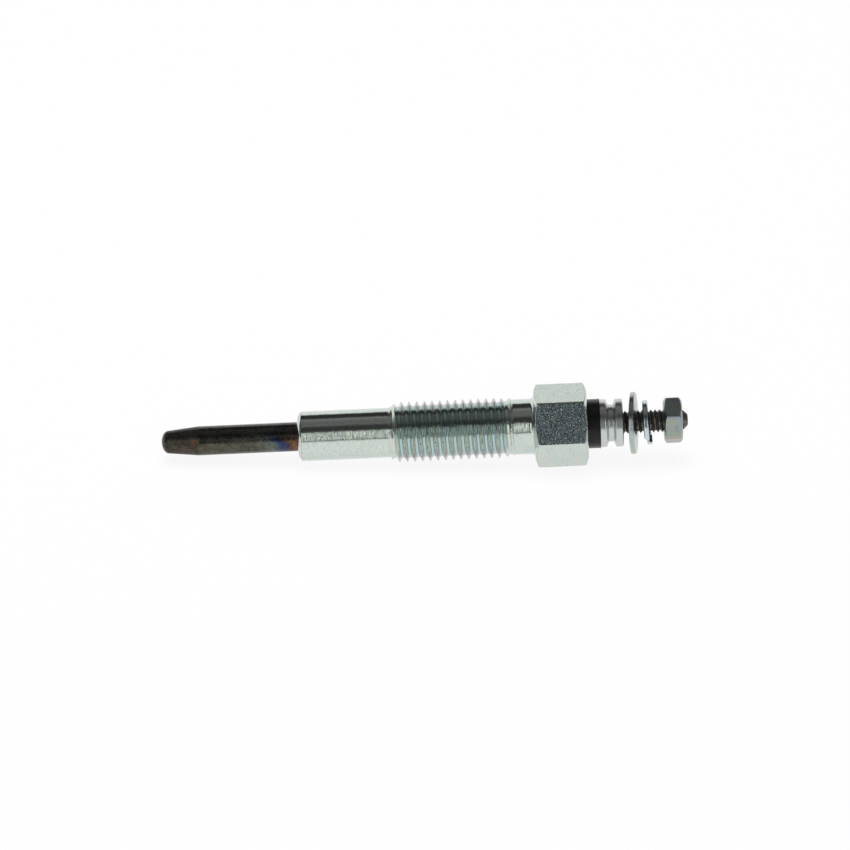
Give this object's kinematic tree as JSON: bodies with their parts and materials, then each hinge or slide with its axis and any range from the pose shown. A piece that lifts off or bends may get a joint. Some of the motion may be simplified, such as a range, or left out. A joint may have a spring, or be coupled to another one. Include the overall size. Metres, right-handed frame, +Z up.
{
  "type": "diesel glow plug",
  "caption": "Slim sheathed heater plug with a threaded steel body, spanner hexagon, insulated terminal stud, loose washers and nut, for warming a diesel engine's cylinder at starting.",
  "frame": {"origin": "on the plug's axis at the front edge of the housing, where the sealing cone meets the plain fore-body", "axes": "+X along the plug's axis from the heater tip towards the terminal, +Z up with the plug lying on a flat of its hexagon"},
  "size_m": [0.0856, 0.0134, 0.0118],
  "materials": {
    "zinc_body": "clear blue zinc plating over turned steel",
    "tube_alloy": "dark heat-tinted nickel alloy, satin",
    "heating_wire": "drawn resistance wire",
    "control_wire": "drawn nickel wire",
    "powder": "packed mineral powder, matt",
    "black_steel": "black oxide on a rolled thread",
    "seal_rubber": "matt rubber",
    "bush_plastic": "smooth black moulding",
    "turned_metal": "satin, with fine turning lines",
    "zinc_washer": "bright zinc with a yellow and blue tint",
    "nut_steel": "grey passivated zinc, faintly iridescent"
  },
  "bodies": {
    "root": {"housing": "zinc_body", "glow_tube": "tube_alloy", "heating_coil": "heating_wire", "control_coil": "control_wire", "insulating_powder": "powder", "terminal_rod": "black_steel", "tube_seal": "seal_rubber", "rod_seal": "seal_rubber", "insulating_bush": "bush_plastic", "round_nut": "turned_metal", "flat_washer": "zinc_washer", "spring_washer": "zinc_washer", "terminal_nut": "nut_steel"}
  },
  "joints": []
}
